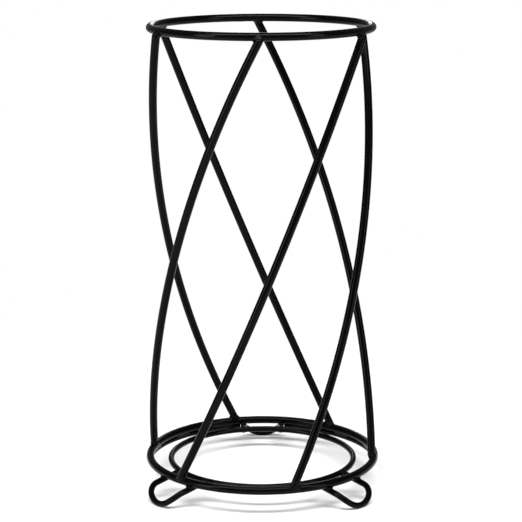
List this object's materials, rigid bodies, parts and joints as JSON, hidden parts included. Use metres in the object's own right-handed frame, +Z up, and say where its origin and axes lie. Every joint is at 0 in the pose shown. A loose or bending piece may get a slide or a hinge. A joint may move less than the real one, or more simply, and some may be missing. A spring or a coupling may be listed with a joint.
{
  "type": "freestanding toilet paper holder",
  "caption": "Open floor-standing rack of round wire that stores a stack of toilet rolls: slanted, bowed uprights between its rings, on hairpin feet.",
  "frame": {"origin": "on the floor, under the middle of the whole rack's bounding box; the rings' common axis stands 7.8 mm in front of it", "axes": "+Z up along the rings' axis, the pictured front towards -Y, +X to the right as seen from the front"},
  "size_m": [0.1884, 0.2038, 0.3684],
  "materials": {
    "powder_coat": "satin black powder coat over steel wire"
  },
  "bodies": {
    "root": {"top_ring": "powder_coat", "base_ring": "powder_coat", "support_ring": "powder_coat", "upright_1": "powder_coat", "upright_2": "powder_coat", "upright_3": "powder_coat", "upright_4": "powder_coat", "upright_5": "powder_coat", "upright_6": "powder_coat", "foot_front_left": "powder_coat", "foot_rear": "powder_coat", "foot_front_right": "powder_coat"}
  },
  "joints": []
}
